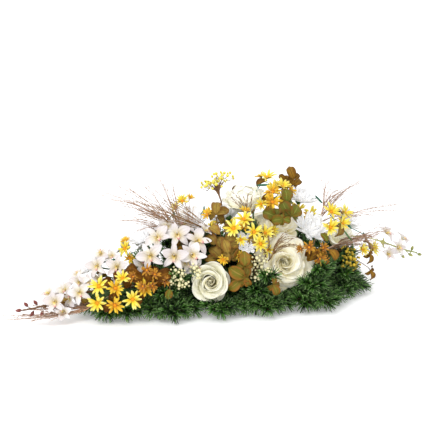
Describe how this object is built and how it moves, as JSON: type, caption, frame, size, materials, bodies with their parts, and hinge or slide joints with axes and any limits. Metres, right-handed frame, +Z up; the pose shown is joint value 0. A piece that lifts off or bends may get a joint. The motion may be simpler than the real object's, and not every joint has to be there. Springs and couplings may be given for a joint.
{
  "type": "teardrop funeral wreath",
  "caption": "Artificial teardrop grave wreath: a drop-shaped foam base edged with fir, built up with white roses, orchids, daisies, autumn leaves, berries and dry grass.",
  "frame": {"origin": "centre of the foam base's round head, on its flat underside", "axes": "+X from the tip of the drop towards its round head, +Z up, so the side that the picture shows looks along -Y"},
  "size_m": [1.0357, 0.4146, 0.2831],
  "materials": {
    "foam": "matte rigid foam",
    "fir_green": "satin moulded needles",
    "ivory_cloth": "matte pressed cloth petals",
    "cream_cloth": "matte pressed cloth petals",
    "white_cloth": "matte pressed cloth petals",
    "orchid_white": "matte pressed cloth petals with yellow lips",
    "daisy_yellow": "matte pressed cloth petals",
    "amber_cloth": "matte pressed cloth petals",
    "leaf_amber": "satin printed cloth leaves",
    "leaf_brown": "satin printed cloth leaves",
    "leaf_green": "satin printed cloth leaves with brown rims",
    "leaf_gold": "satin printed cloth leaves",
    "berry_yellow": "satin",
    "berry_pale": "satin",
    "berry_mustard": "satin",
    "dry_grass": "matte"
  },
  "bodies": {
    "root": {"berries_centre": "berry_yellow", "berries_crown": "berry_yellow", "berries_left": "berry_pale", "berries_right": "berry_mustard", "daisies_back": "daisy_yellow", "daisies_back_right": "daisy_yellow", "daisies_centre": "daisy_yellow", "daisies_crown": "daisy_yellow", "daisies_left": "daisy_yellow", "daisies_low_right": "amber_cloth", "daisies_right": "daisy_yellow", "daisies_tip": "daisy_yellow", "fir_back_1": "fir_green", "fir_back_2": "fir_green", "fir_back_3": "fir_green", "fir_back_4": "fir_green", "fir_back_5": "fir_green", "fir_front_1": "fir_green", "fir_front_2": "fir_green", "fir_front_3": "fir_green", "fir_front_4": "fir_green", "fir_front_5": "fir_green", "fir_head": "fir_green", "fir_tip": "fir_green", "fir_top_1": "fir_green", "fir_top_2": "fir_green", "fir_top_3": "fir_green", "foam_base": "foam", "grass_centre": "dry_grass", "grass_left": "dry_grass", "grass_right_high": "dry_grass", "grass_right_low": "dry_grass", "grass_tip": "dry_grass", "leaves_amber_centre": "leaf_amber", "leaves_amber_left": "leaf_amber", "leaves_back": "leaf_green", "leaves_crown": "leaf_brown", "leaves_eucalyptus": "leaf_green", "leaves_gold": "leaf_gold", "leaves_right": "leaf_brown", "mum_back": "white_cloth", "mum_centre": "white_cloth", "mum_crown": "white_cloth", "mum_far_right": "white_cloth", "mum_left": "white_cloth", "mum_mid": "white_cloth", "mum_right": "white_cloth", "mum_tip": "white_cloth", "orchid_back": "orchid_white", "orchid_left": "orchid_white", "orchid_low": "orchid_white", "orchid_right": "orchid_white", "orchid_tip": "orchid_white", "peony_top": "cream_cloth", "rose_back_left": "ivory_cloth", "rose_back_right": "cream_cloth", "rose_front": "ivory_cloth", "rose_high": "cream_cloth", "rose_low": "cream_cloth", "rose_right": "cream_cloth"}
  },
  "joints": []
}
